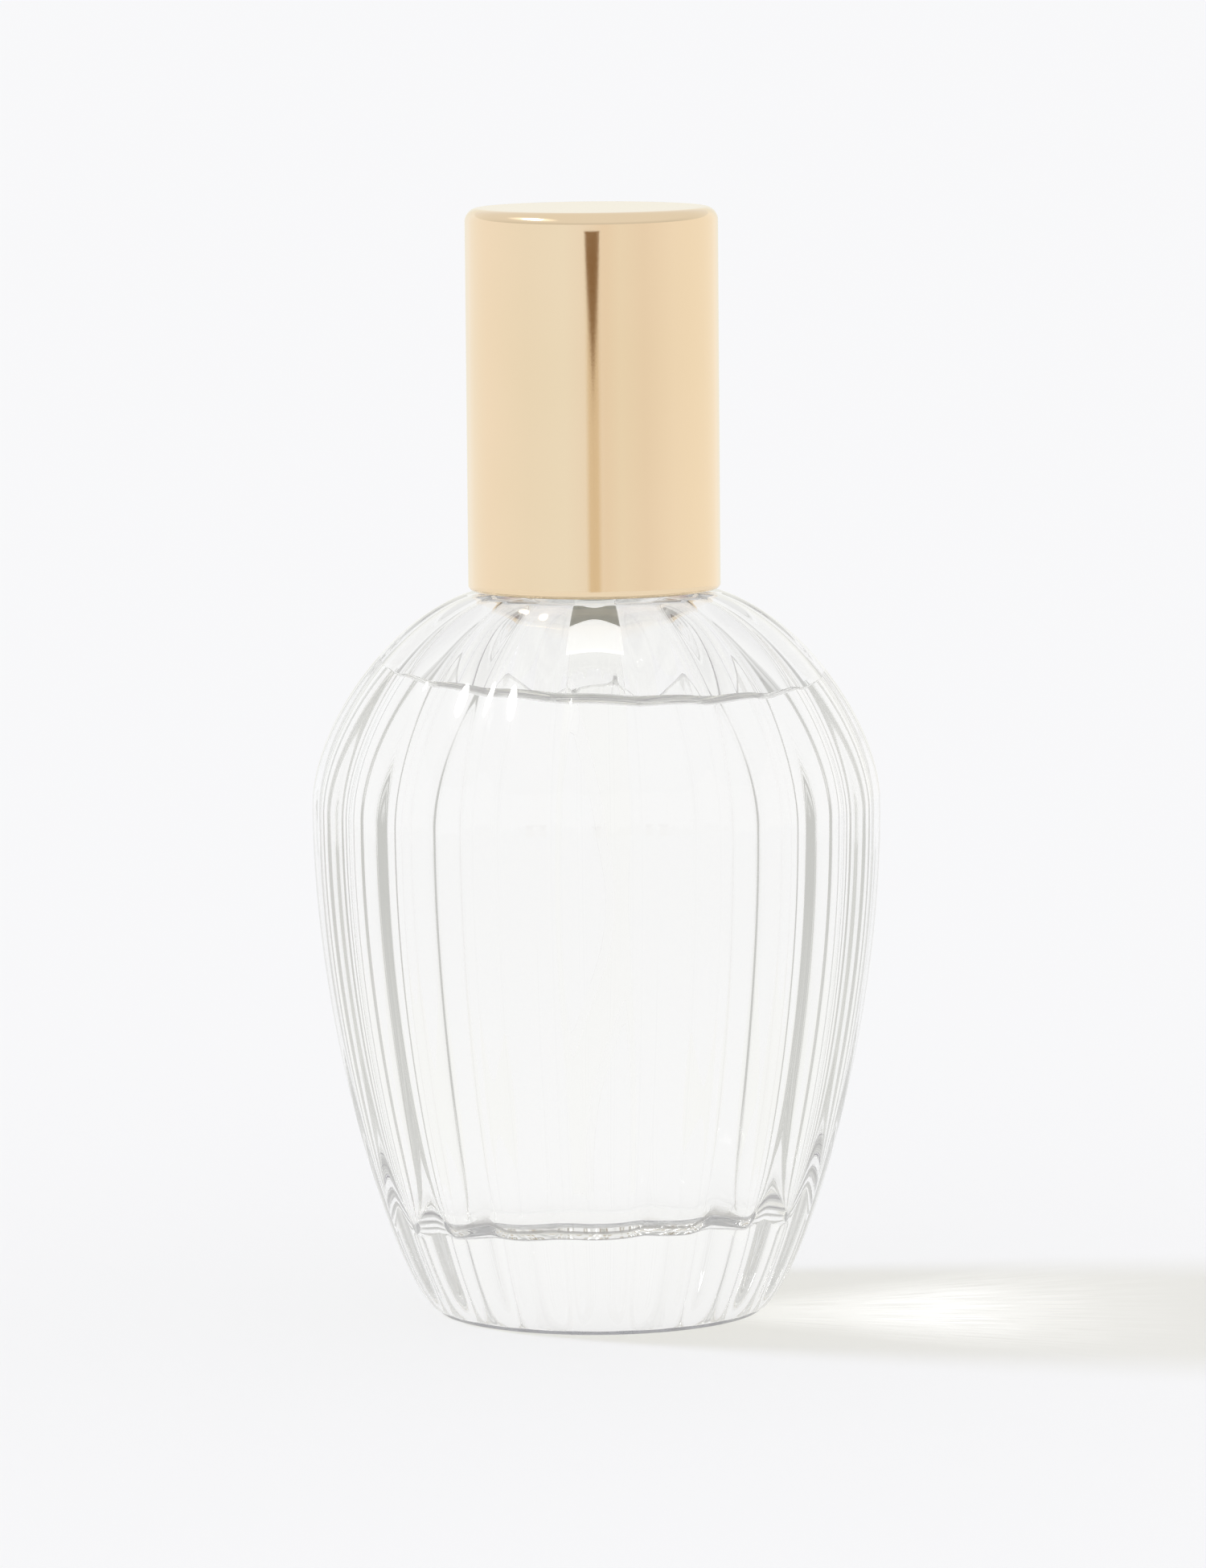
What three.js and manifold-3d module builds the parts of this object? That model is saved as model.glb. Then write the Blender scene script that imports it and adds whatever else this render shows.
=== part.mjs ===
// Perfume spray bottle, 30 ml: a fluted glass body with a crimped 13 mm spray pump under a slim cap.
// Millimetres, +Z up. The origin is the centre of the base, in the plane that the bottle stands on.
import * as THREE from "three";
import { mergeVertices } from "three/addons/utils/BufferGeometryUtils.js";
import Module from "manifold-3d";

// Driving dimensions
const GAP = 0.3; // clearance between neighbouring pieces
const STEP = 0.1; // smallest step in a profile
const ROUND = 40; // sides of the larger turned pieces
const SMALL_ROUND = 24; // sides of the pump's small turned pieces

// Glass body
const FLUTES = 20; // convex flutes, with one centred on the front
const SIDES_PER_FLUTE = 4;
const FLUTE_DEPTH = 0.8; // crest to groove at the widest height
const BODY_R = 21.0; // to the crests, at the widest height
const WIDEST_Z = 37.6;
const FOOT_R = 12.3; // outer edge of the standing ring
const FOOT_EDGE = 0.3; // its small rounding
const HEEL_REACH = 2.0; // how far the side runs out along the floor before it rises
const FOOT_INNER_R = 9.0;
const PUNT_R = 8.2; // shallow recess under the base
const PUNT_DEPTH = 0.7;
const SEAT_R = 9.3; // flat shoulder that the cap stands over
const SEAT_Z = 53.3;
const SHOULDER_RISE = 5.7; // how far the shoulder follows the wall above the widest height
const SHOULDER_REACH = 5.9; // how far it runs out from the seat, and how far it drops there
const SHOULDER_DROP = 1.6;
const WALL = 3.1; // crest to inner wall, at the widest height
const INNER_FLOOR_Z = 7.8; // the solid glass base is this thick
const INNER_FLOOR_R = 8.5;
const INNER_HEEL_REACH = 5.0;
const INNER_HEEL_Z = 17.0; // where the inner side starts to turn in towards the floor
const INNER_BEND_Z = 42.5; // where it starts to turn in towards the bore
const INNER_TOP_R = 12.5; // how far out the inner shoulder runs below the seat
const INNER_TOP_Z = 50.9;

// Neck finish for a 13 mm crimp
const NECK_R = 5.5;
const NECK_FILLET = 0.8;
const BORE_R = 4.4;
const BORE_Z = 52.4; // where the inner shoulder meets the bore
const BEAD_R = 6.5;
const BEAD_Z = 58.6; // lower edge of the bead's full radius
const MOUTH_Z = 61.2;
const MOUTH_EDGE = 0.5;

// Perfume
const FILL_Z = 45.9;

// Pump
const STROKE = 3.8;
const GASKET_H = 0.7;
const HOUSING_R = 3.6;
const CHAMBER_R = 3.0;
const CHAMBER_Z = 52.0; // floor of the chamber, around the ball seat
const HOUSING_Z = 51.3; // underside of the housing's wall
const FLANGE_H = 0.75;
const TAIL_R = 1.75;
const TAIL_TAPER = 0.6;
const TAIL_Z = 48.7;
const INLET_R = 0.6;
const VALVE_SEAT = 1.0; // width and height of the ball's conical seat
const BALL_R = 0.9;
const TUBE_R = 0.8;
const TUBE_BORE_R = 0.5;
const TUBE_END_Z = 9.6;
const TUBE_TOP_Z = 50.0;
const STEM_R = 1.5;
const STEM_BORE_R = 0.55;
const STEM_TOP_Z = 71.6;
const STEM_COLLAR_R = 2.3;
const STEM_COLLAR_H = 0.45;
const SEAL_H = 0.6;
const PISTON_H = 1.2;
const PLUNGER_H = 1.0;
const LOAD_SPRING_H = 0.7;
const WIRE_R = 0.17;
const SPRING_R = 2.1;
const SPRING_TURNS = 4;
const TURRET_R = 3.6;
const TURRET_H = 1.45;

// Crimp ferrule and the collar that covers it
const SHEET = 0.35;
const FERRULE_R = 7.15;
const FERRULE_LIP_R = 6.05;
const FERRULE_FOLD = 0.25; // the skirt turns in this far below the bead's shoulder
const COLLAR_R = 7.75;
const COLLAR_LIP_R = 6.6;

// Actuator
const ACTUATOR_R = 6.1;
const ACTUATOR_H = 7.2;
const ACTUATOR_CLEARANCE = 0.4; // left above the ferrule at the end of the stroke
const NOZZLE_INSET = 0.2; // the button's core and the nozzle sit this far inside the shell
const ACTUATOR_EDGE = 0.6;
const RECESS_R = 4.2;
const RECESS_H = 1.5;
const NOZZLE_Z = 72.3;
const NOZZLE_R = 1.2;
const NOZZLE_DEPTH = 2.3;
const ORIFICE_R = 0.25;
const CHANNEL_R = 0.5;

// Cap
const CAP_R = 9.3;
const CAP_TOP_Z = 81.7;
const CAP_WALL = 0.4;
const CAP_CROWN = 1.1;
const CAP_EDGE = 1.0;
const CAP_LOWER_EDGE = 0.3;
const CAP_CLEARANCE = 0.35; // cap and collar stand this far above the shoulder
const COLLAR_CLEARANCE = 0.45;
const LINER_WALL = 0.45;
const LINER_Z = 55.0;

// Heights that follow from the pieces stacked on the bottle's mouth
const GASKET_Z = MOUTH_Z + GAP;
const FLANGE_Z = GASKET_Z + GASKET_H + GAP;
const HOUSING_TOP_Z = FLANGE_Z + FLANGE_H;
const SEAL_Z = HOUSING_TOP_Z - SEAL_H;
const TURRET_Z = HOUSING_TOP_Z + GAP;
const FERRULE_TOP_Z = TURRET_Z + SHEET;
const STEM_COLLAR_Z = SEAL_Z - GAP - STEM_COLLAR_H;
const LOAD_SPRING_Z = STEM_COLLAR_Z - GAP - LOAD_SPRING_H;
const PISTON_Z = LOAD_SPRING_Z - GAP - PISTON_H;
const STEM_Z = PISTON_Z - 2 * STEP;
const PLUNGER_Z = STEM_Z - GAP - PLUNGER_H;
const SPRING_Z = CHAMBER_Z + GAP;
const SPRING_H = PLUNGER_Z - GAP - SPRING_Z;
const ACTUATOR_Z = FERRULE_TOP_Z + STROKE + ACTUATOR_CLEARANCE;
const COLLAR_Z = SEAT_Z + COLLAR_CLEARANCE;
const CAP_Z = SEAT_Z + CAP_CLEARANCE;
const LINER_R = CAP_R - CAP_WALL - GAP;

const wasm = await Module();
wasm.setup();
const bottle = new THREE.Group();
bottle.name = "perfume_bottle";

// Profile helpers: points are (radius, height).
const point = (r, z) => new THREE.Vector2(r, z);
const bezier = (steps, ...controls) =>
  new THREE.CubicBezierCurve(...controls.map(([r, z]) => point(r, z))).getPoints(steps);

function arc(centreR, centreZ, radius, fromDegrees, toDegrees, steps) {
  const radians = THREE.MathUtils.degToRad;
  return Array.from({ length: steps + 1 }, (_, i) => {
    const angle = radians(fromDegrees + ((toDegrees - fromDegrees) * i) / steps);
    return point(centreR + radius * Math.cos(angle), centreZ + radius * Math.sin(angle));
  });
}

// A solid turned about Z. Its first side faces the front, -Y.
function turned(profile, sides = ROUND) {
  return new THREE.LatheGeometry(profile, sides).rotateX(Math.PI / 2);
}

function ring(innerR, outerR, bottomZ, height, sides = ROUND) {
  const topZ = bottomZ + height;
  const corners = [point(innerR, bottomZ), point(outerR, bottomZ), point(outerR, topZ), point(innerR, topZ)];
  return turned([...corners, corners[0]], sides);
}

// A round bar along Y, from the first to the second distance in front of the axis.
function barToFront(radius, fromFront, toFront, z) {
  const length = toFront - fromFront;
  const bar = new THREE.CylinderGeometry(radius, radius, length, SMALL_ROUND);
  return bar.translate(0, -fromFront - length / 2, z);
}

function coil(radius, wireR, bottomZ, height, turns) {
  const stepsPerTurn = 12;
  const rise = height - 2 * wireR;
  const route = Array.from({ length: turns * stepsPerTurn + 1 }, (_, i) => {
    const angle = (2 * Math.PI * i) / stepsPerTurn;
    const z = bottomZ + wireR + (rise * i) / (turns * stepsPerTurn);
    return new THREE.Vector3(radius * Math.cos(angle), radius * Math.sin(angle), z);
  });
  const section = new THREE.Shape().absarc(0, 0, wireR, 0, 2 * Math.PI);
  return new THREE.ExtrudeGeometry(section, {
    extrudePath: new THREE.CatmullRomCurve3(route),
    steps: turns * stepsPerTurn,
    curveSegments: 3,
    bevelEnabled: false,
  });
}

function solid(geometry) {
  const bare = new THREE.BufferGeometry().setAttribute("position", geometry.getAttribute("position"));
  if (geometry.index) bare.setIndex(geometry.index);
  const merged = mergeVertices(bare, 1e-4);
  const mesh = new wasm.Mesh({
    numProp: 3,
    vertProperties: merged.getAttribute("position").array,
    triVerts: new Uint32Array(merged.index.array),
  });
  return new wasm.Manifold(mesh);
}

function cut(body, ...tools) {
  const left = tools.reduce((rest, tool) => rest.subtract(solid(tool)), solid(body)).getMesh();
  const geometry = new THREE.BufferGeometry();
  geometry.setAttribute("position", new THREE.BufferAttribute(left.vertProperties, 3));
  geometry.setIndex(new THREE.BufferAttribute(left.triVerts, 1));
  return geometry;
}

function material(color, roughness, metalness = 0) {
  return new THREE.MeshStandardMaterial({ color, roughness, metalness });
}

function add(name, geometry, surface) {
  const mesh = new THREE.Mesh(geometry, surface);
  mesh.name = name;
  bottle.add(mesh);
}

// Glass body. The flutes are shallow parabolas that meet in sharp grooves.
function glassBody() {
  const punt = [point(0, PUNT_DEPTH), point(PUNT_R, PUNT_DEPTH)];
  const foot = [...punt, point(FOOT_INNER_R, 0), point(FOOT_R - FOOT_EDGE, 0)];
  const heel = [FOOT_R + HEEL_REACH, FOOT_EDGE + STEP];
  const side = bezier(10, [FOOT_R, FOOT_EDGE], heel, [BODY_R, WIDEST_Z / 2], [BODY_R, WIDEST_Z]);
  const bend = [BODY_R, WIDEST_Z + SHOULDER_RISE];
  const reach = [SEAT_R + SHOULDER_REACH, SEAT_Z - SHOULDER_DROP];
  const shoulder = bezier(7, [BODY_R, WIDEST_Z], bend, reach, [SEAT_R, SEAT_Z]);
  const neck = [
    ...arc(NECK_R + NECK_FILLET, SEAT_Z + STEP + NECK_FILLET, NECK_FILLET, 270, 180, 3),
    point(NECK_R, BEAD_Z - NECK_FILLET),
    point(BEAD_R, BEAD_Z),
    ...arc(BEAD_R - MOUTH_EDGE, MOUTH_Z - MOUTH_EDGE, MOUTH_EDGE, 0, 90, 2),
    point(BORE_R, MOUTH_Z),
  ];
  const fluted = [...side, ...shoulder.slice(1)];
  const profile = [...foot, ...fluted, ...neck, ...innerWall(0)];
  const geometry = turned(profile, FLUTES * SIDES_PER_FLUTE);
  const position = geometry.getAttribute("position");
  for (let i = 0; i < position.count; i++) {
    const row = (i % profile.length) - foot.length;
    if (row < 0 || row >= fluted.length) continue;
    const { x: radius, y: height } = fluted[row];
    const groove = FLUTE_DEPTH * (radius / BODY_R) * THREE.MathUtils.smoothstep(height, -1, 3);
    const turn = Math.atan2(position.getX(i), -position.getY(i)) / (2 * Math.PI);
    const acrossFlute = 2 * (turn * FLUTES - Math.round(turn * FLUTES));
    const scale = 1 - (groove * acrossFlute ** 2) / radius;
    position.setXY(i, position.getX(i) * scale, position.getY(i) * scale);
  }
  return geometry;
}

// The hollow's profile from the bore down to the axis, drawn in by an inset.
function innerWall(inset) {
  const wallR = BODY_R - WALL - inset;
  const floorZ = INNER_FLOOR_Z + inset;
  const top = [INNER_TOP_R, INNER_TOP_Z - inset];
  const heel = [INNER_FLOOR_R + INNER_HEEL_REACH, floorZ + STEP];
  const upper = bezier(6, [BORE_R, BORE_Z - inset], top, [wallR, INNER_BEND_Z], [wallR, WIDEST_Z]);
  const lower = bezier(8, [wallR, WIDEST_Z], [wallR, INNER_HEEL_Z], heel, [INNER_FLOOR_R, floorZ]);
  return [...upper, ...lower.slice(1), point(0, floorZ)];
}

function perfume() {
  const below = innerWall(GAP).filter((p) => p.y < FILL_Z);
  const above = innerWall(GAP).filter((p) => p.y >= FILL_Z).pop();
  const edgeR = THREE.MathUtils.mapLinear(FILL_Z, above.y, below[0].y, above.x, below[0].x);
  const tubeHoleR = TUBE_R + GAP;
  const tubeHole = [point(0, TUBE_END_Z - GAP), point(tubeHoleR, TUBE_END_Z - GAP), point(tubeHoleR, FILL_Z)];
  return turned([...tubeHole, point(edgeR, FILL_Z), ...below].reverse(), ROUND);
}

const glass = material(0xf4f4f2, 0.03);
const clearPlastic = material(0xf3f3ef, 0.25);
const whitePlastic = material(0xf1f0ec, 0.4);
const rubber = material(0xd8d6cf, 0.7);
const steel = material(0xc9cacb, 0.25, 1);
const gold = material(0xe6c79a, 0.28, 1);
add("bottle_glass", glassBody(), glass);
add("perfume", perfume(), material(0xf7f5ec, 0.02));

// Pump, fixed pieces
const flangeR = BEAD_R - STEP;
add("neck_gasket", ring(BORE_R + GAP, flangeR, GASKET_Z, GASKET_H, SMALL_ROUND), rubber);
const housingProfile = [
  point(TUBE_R + GAP, TAIL_Z),
  point(TAIL_R, TAIL_Z),
  point(TAIL_R, HOUSING_Z - TAIL_TAPER),
  point(HOUSING_R, HOUSING_Z),
  point(HOUSING_R, FLANGE_Z),
  point(flangeR, FLANGE_Z),
  point(flangeR, HOUSING_TOP_Z),
  point(CHAMBER_R, HOUSING_TOP_Z),
  point(CHAMBER_R, CHAMBER_Z),
  point(INLET_R + VALVE_SEAT, CHAMBER_Z),
  point(INLET_R, CHAMBER_Z - VALVE_SEAT),
  point(INLET_R, TUBE_TOP_Z + GAP),
  point(TUBE_R + GAP, TUBE_TOP_Z + GAP),
  point(TUBE_R + GAP, TAIL_Z),
];
add("pump_housing", turned(housingProfile, SMALL_ROUND), clearPlastic);
add("stem_seal", ring(STEM_R + GAP, CHAMBER_R - GAP, SEAL_Z, SEAL_H, SMALL_ROUND), rubber);
add("pump_turret", ring(STEM_R + GAP, TURRET_R, TURRET_Z, TURRET_H, SMALL_ROUND), whitePlastic);
add("dip_tube", ring(TUBE_BORE_R, TUBE_R, TUBE_END_Z, TUBE_TOP_Z - TUBE_END_Z, 16), clearPlastic);
add("return_spring", coil(SPRING_R, WIRE_R, SPRING_Z, SPRING_H, SPRING_TURNS), steel);
const ballGeometry = new THREE.SphereGeometry(BALL_R, 16, 10).rotateX(Math.PI / 2);
add("inlet_ball", ballGeometry.translate(0, 0, CHAMBER_Z + STEP), steel);

// Crimp ferrule, hooked under the bead, and the collar over it
const ferruleProfile = [
  point(TURRET_R + GAP, TURRET_Z),
  point(FERRULE_R - SHEET, TURRET_Z),
  point(FERRULE_R - SHEET, BEAD_Z - FERRULE_FOLD),
  point(FERRULE_LIP_R, BEAD_Z - NECK_FILLET),
  point(FERRULE_LIP_R, BEAD_Z - NECK_FILLET - SHEET),
  point(FERRULE_R, BEAD_Z - NECK_FILLET),
  point(FERRULE_R, FERRULE_TOP_Z),
  point(TURRET_R + GAP, FERRULE_TOP_Z),
  point(TURRET_R + GAP, TURRET_Z),
];
add("crimp_ferrule", turned(ferruleProfile), material(0xd9d9d8, 0.3, 1));
const collarProfile = [
  point(COLLAR_R - SHEET, COLLAR_Z),
  point(COLLAR_R, COLLAR_Z),
  point(COLLAR_R, FERRULE_TOP_Z + GAP + SHEET),
  point(COLLAR_LIP_R, FERRULE_TOP_Z + GAP + SHEET),
  point(COLLAR_LIP_R, FERRULE_TOP_Z + GAP),
  point(COLLAR_R - SHEET, FERRULE_TOP_Z + GAP),
  point(COLLAR_R - SHEET, COLLAR_Z),
];
add("ferrule_collar", turned(collarProfile), gold);

// Pump, pieces that travel with the stem
const stemProfile = [
  point(0, STEM_Z),
  point(STEM_R, STEM_Z),
  point(STEM_R, STEM_COLLAR_Z),
  point(STEM_COLLAR_R, STEM_COLLAR_Z),
  point(STEM_COLLAR_R, STEM_COLLAR_Z + STEM_COLLAR_H),
  point(STEM_R, STEM_COLLAR_Z + STEM_COLLAR_H),
  point(STEM_R, STEM_TOP_Z),
  point(STEM_BORE_R, STEM_TOP_Z),
  point(STEM_BORE_R, PISTON_Z + PISTON_H),
  point(0, PISTON_Z + PISTON_H),
];
add("pump_stem", turned(stemProfile, SMALL_ROUND), whitePlastic);
add("piston", ring(STEM_R + GAP, CHAMBER_R - GAP, PISTON_Z, PISTON_H, SMALL_ROUND), whitePlastic);
const plungerR = CHAMBER_R - GAP - 2 * STEP;
const plungerProfile = [
  point(0, PLUNGER_Z),
  point(plungerR, PLUNGER_Z),
  point(plungerR, PLUNGER_Z + PLUNGER_H / 2),
  point(STEM_R, PLUNGER_Z + PLUNGER_H),
  point(0, PLUNGER_Z + PLUNGER_H),
];
add("plunger", turned(plungerProfile, SMALL_ROUND), whitePlastic);
add("load_spring", coil(STEM_R + GAP + WIRE_R, WIRE_R, LOAD_SPRING_Z, LOAD_SPRING_H, 1), steel);

// Actuator: a plastic button in a metal shell, with the nozzle facing the front
const buttonR = ACTUATOR_R - SHEET - GAP;
const buttonTopZ = ACTUATOR_Z + ACTUATOR_H - SHEET - GAP;
const socketR = STEM_R + GAP;
const recessTopZ = ACTUATOR_Z + RECESS_H;
const socketTopZ = NOZZLE_Z + CHANNEL_R + STEP;
const buttonProfile = [
  point(RECESS_R, ACTUATOR_Z + NOZZLE_INSET),
  point(buttonR, ACTUATOR_Z + NOZZLE_INSET),
  point(buttonR, buttonTopZ),
  point(0, buttonTopZ),
  point(0, socketTopZ),
  point(socketR, socketTopZ),
  point(socketR, recessTopZ),
  point(RECESS_R, recessTopZ),
  point(RECESS_R, ACTUATOR_Z + NOZZLE_INSET),
];
const nozzleFront = ACTUATOR_R - NOZZLE_INSET;
const nozzleBack = nozzleFront - NOZZLE_DEPTH;
const nozzlePocket = barToFront(NOZZLE_R + GAP, nozzleBack - GAP, ACTUATOR_R + 1, NOZZLE_Z);
const sprayChannel = barToFront(CHANNEL_R, 0, nozzleBack, NOZZLE_Z);
add("actuator_button", cut(turned(buttonProfile), nozzlePocket, sprayChannel), whitePlastic);

const shellProfile = [
  point(ACTUATOR_R - SHEET, ACTUATOR_Z),
  point(ACTUATOR_R, ACTUATOR_Z),
  ...arc(ACTUATOR_R - ACTUATOR_EDGE, ACTUATOR_Z + ACTUATOR_H - ACTUATOR_EDGE, ACTUATOR_EDGE, 0, 90, 4),
  point(0, ACTUATOR_Z + ACTUATOR_H),
  point(0, ACTUATOR_Z + ACTUATOR_H - SHEET),
  point(ACTUATOR_R - SHEET, ACTUATOR_Z + ACTUATOR_H - SHEET),
  point(ACTUATOR_R - SHEET, ACTUATOR_Z),
];
add("actuator_shell", cut(turned(shellProfile), nozzlePocket), gold);
const nozzle = barToFront(NOZZLE_R, nozzleBack, nozzleFront, NOZZLE_Z);
const orifice = barToFront(ORIFICE_R, nozzleBack - 1, nozzleFront + 1, NOZZLE_Z);
add("nozzle_insert", cut(nozzle, orifice), whitePlastic);

// Cap: a metal shell over a plastic liner that grips the collar
const capInnerR = CAP_R - CAP_WALL;
const capProfile = [
  point(capInnerR, CAP_Z),
  ...arc(CAP_R - CAP_LOWER_EDGE, CAP_Z + CAP_LOWER_EDGE, CAP_LOWER_EDGE, -90, 0, 2),
  ...arc(CAP_R - CAP_EDGE, CAP_TOP_Z - CAP_EDGE, CAP_EDGE, 0, 90, 5),
  point(0, CAP_TOP_Z),
  point(0, CAP_TOP_Z - CAP_CROWN),
  point(capInnerR, CAP_TOP_Z - CAP_CROWN),
  point(capInnerR, CAP_Z),
];
add("cap_shell", turned(capProfile, ROUND + 8), gold);
const linerTopZ = CAP_TOP_Z - CAP_CROWN - GAP;
const linerProfile = [
  point(LINER_R - LINER_WALL, LINER_Z),
  point(LINER_R, LINER_Z),
  point(LINER_R, linerTopZ),
  point(0, linerTopZ),
  point(0, linerTopZ - LINER_WALL),
  point(LINER_R - LINER_WALL, linerTopZ - LINER_WALL),
  point(LINER_R - LINER_WALL, LINER_Z),
];
add("cap_liner", turned(linerProfile, ROUND + 8), whitePlastic);

export default bottle;
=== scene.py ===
"""A 30 ml perfume bottle: fluted glass, clear perfume, crimped spray pump and slim gold cap."""

import math

import bpy
from mathutils import Matrix, Vector, noise


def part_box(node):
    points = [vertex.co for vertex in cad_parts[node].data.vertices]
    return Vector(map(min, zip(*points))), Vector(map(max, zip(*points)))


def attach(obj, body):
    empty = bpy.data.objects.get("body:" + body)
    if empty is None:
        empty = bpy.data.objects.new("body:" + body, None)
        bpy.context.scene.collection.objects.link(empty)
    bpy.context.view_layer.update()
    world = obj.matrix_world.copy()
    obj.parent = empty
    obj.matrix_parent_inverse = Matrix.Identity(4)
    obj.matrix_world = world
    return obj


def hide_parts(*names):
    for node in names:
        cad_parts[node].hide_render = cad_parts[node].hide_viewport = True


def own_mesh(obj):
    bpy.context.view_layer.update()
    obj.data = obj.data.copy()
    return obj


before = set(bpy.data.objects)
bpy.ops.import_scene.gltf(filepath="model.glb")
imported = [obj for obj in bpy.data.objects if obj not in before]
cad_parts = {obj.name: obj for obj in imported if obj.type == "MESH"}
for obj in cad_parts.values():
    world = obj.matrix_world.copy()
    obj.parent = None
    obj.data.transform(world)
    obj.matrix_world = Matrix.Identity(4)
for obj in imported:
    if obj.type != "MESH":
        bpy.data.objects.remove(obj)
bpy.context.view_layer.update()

MM = 0.001
TAU = math.tau

# Driving dimensions, in metres. Radii and heights of whole pieces come from the frame's boxes.
FLUTES = 20
FLUTE_SIDES = 22  # mesh sides across one flute
FLUTE_DEPTH = 0.8 * MM
GROOVE_SOFTNESS = 0.34  # share of a flute's half width that the groove's rounding takes
WIDEST_Z = 37.6 * MM
FOOT_R = 12.3 * MM
FOOT_EDGE = 0.3 * MM
FOOT_INNER_R = 9.0 * MM
PUNT_R = 8.2 * MM
PUNT_DEPTH = 0.7 * MM
SEAT_R = 9.3 * MM
SEAT_Z = 53.3 * MM
WALL = 3.1 * MM
INNER_FLOOR_Z = 7.8 * MM
INNER_FLOOR_R = 8.5 * MM
SEAM_HEIGHT = 0.12 * MM  # the band where the hollow's floor meets its wall, given painted shade at the front
SEAM_INNER_R = 8.0 * MM
NECK_R = 5.5 * MM
NECK_FILLET = 0.8 * MM
BORE_R = 4.4 * MM
BORE_Z = 52.4 * MM
BEAD_R = 6.5 * MM
BEAD_Z = 58.6 * MM
MOUTH_EDGE = 0.5 * MM
WALL_WAVE = 0.10 * MM  # unevenness of the pressed inner wall
FLOOR_SLOPE = 0.04  # the hollow's floor rises a little to the right
MENISCUS_RISE = 1.3 * MM
MENISCUS_DROP = 1.28 * MM  # how much lower the liquid clings at the back
MENISCUS_REACH = 0.6 * MM
SURFACE_RINGS = 60  # mesh rings across the liquid's surface
MENISCUS_RINGS = 17  # the outer ones, which take the rim's painted shade
SURFACE_SLOPE = math.tan(math.radians(2.4))  # the liquid stands a little lower on the right
SLOPE_FADE = 9.0 * MM  # how far above and below the liquid line the glass mesh follows its slope
FILL_CLEARANCE = 0.01 * MM
SHEET = 0.35 * MM  # drawn metal of the collar, ferrule and button
GAP = 0.3 * MM
WIRE_R = 0.17 * MM  # both springs' wire
POLE_R = 1e-7  # a ring smaller than this is one point on the axis

BODY_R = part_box("bottle_glass")[1].x
MOUTH_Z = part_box("bottle_glass")[1].z
FILL_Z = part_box("perfume")[1].z - 0.5 * MM  # the flat middle, below the meniscus


# ---------------------------------------------------------------- mesh building

def mesh_piece(name, rings, closed=False, slots=None):
    """Skins rings of points. A ring of one point is a pole. slots gives each band's material index."""
    vertices, faces, indices, starts = [], [], [], []
    for ring in rings:
        starts.append(len(vertices))
        vertices += ring
    bands = len(rings) if closed else len(rings) - 1
    for band in range(bands):
        above = (band + 1) % len(rings)
        low, high = rings[band], rings[above]
        if len(low) == 1 and len(high) == 1:
            continue
        a, b = starts[band], starts[above]
        sides = max(len(low), len(high))
        for i in range(sides):
            j = (i + 1) % sides
            if len(low) == 1:
                face = (a, b + j, b + i)
            elif len(high) == 1:
                face = (a + i, a + j, b)
            else:
                face = (a + i, a + j, b + j, b + i)
            faces.append(face)
            indices.append(slots[band] if slots else 0)
    mesh = bpy.data.meshes.new(name)
    mesh.from_pydata(vertices, [], faces)
    mesh.polygons.foreach_set("material_index", indices)
    mesh.polygons.foreach_set("use_smooth", [True] * len(faces))
    mesh.update()
    piece = bpy.data.objects.new(name, mesh)
    bpy.context.scene.collection.objects.link(piece)
    return piece


def circle(radius, height, sides):
    """A level ring of points, the first at the front."""
    if radius < POLE_R:
        return [(0.0, 0.0, height)]
    angles = [TAU * i / sides for i in range(sides)]
    return [(radius * math.sin(a), -radius * math.cos(a), height) for a in angles]


def turned(name, outline, closed=False, sides=128, shape=None):
    """A turned piece from (radius, height) points. shape(angle, radius, height) gives a new pair."""
    rings = []
    for radius, height in outline:
        ring = circle(radius, height, sides)
        if shape and len(ring) > 1:
            angles = [TAU * i / sides for i in range(sides)]
            pairs = [shape(a, radius, height) for a in angles]
            ring = [(r * math.sin(a), -r * math.cos(a), z) for a, (r, z) in zip(angles, pairs)]
        rings.append(ring)
    return mesh_piece(name, rings, closed)


def softened(corners, radius, closed=False, steps=4):
    """Rounds the corners of an outline, with a support point each side to keep the flats flat."""
    points = []
    for i, corner in enumerate(corners):
        here = Vector(corner)
        if not closed and i in (0, len(corners) - 1):
            points.append(tuple(here))
            continue
        before = Vector(corners[i - 1])
        after = Vector(corners[(i + 1) % len(corners)])
        reach = min(radius, 0.35 * (before - here).length, 0.35 * (after - here).length)
        start = here + (before - here).normalized() * reach
        end = here + (after - here).normalized() * reach
        points.append(tuple(here + (before - here).normalized() * reach * 1.3))
        for k in range(steps + 1):
            t = k / steps
            points.append(tuple((1 - t) ** 2 * start + 2 * t * (1 - t) * here + t * t * end))
        points.append(tuple(here + (after - here).normalized() * reach * 1.3))
    return points


def bezier(steps, p0, p1, p2, p3):
    """Points along a cubic curve between p0 and p3."""
    points = []
    for k in range(steps + 1):
        t = k / steps
        u = 1 - t
        weights = (u ** 3, 3 * u * u * t, 3 * u * t * t, t ** 3)
        points.append(tuple(sum(w * p[i] for w, p in zip(weights, (p0, p1, p2, p3))) for i in (0, 1)))
    return points


def arc(centre_r, centre_z, radius, start, end, steps):
    """Points along a circular arc between two angles in degrees."""
    angles = [math.radians(start + (end - start) * k / steps) for k in range(steps + 1)]
    return [(centre_r + radius * math.cos(a), centre_z + radius * math.sin(a)) for a in angles]


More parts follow.
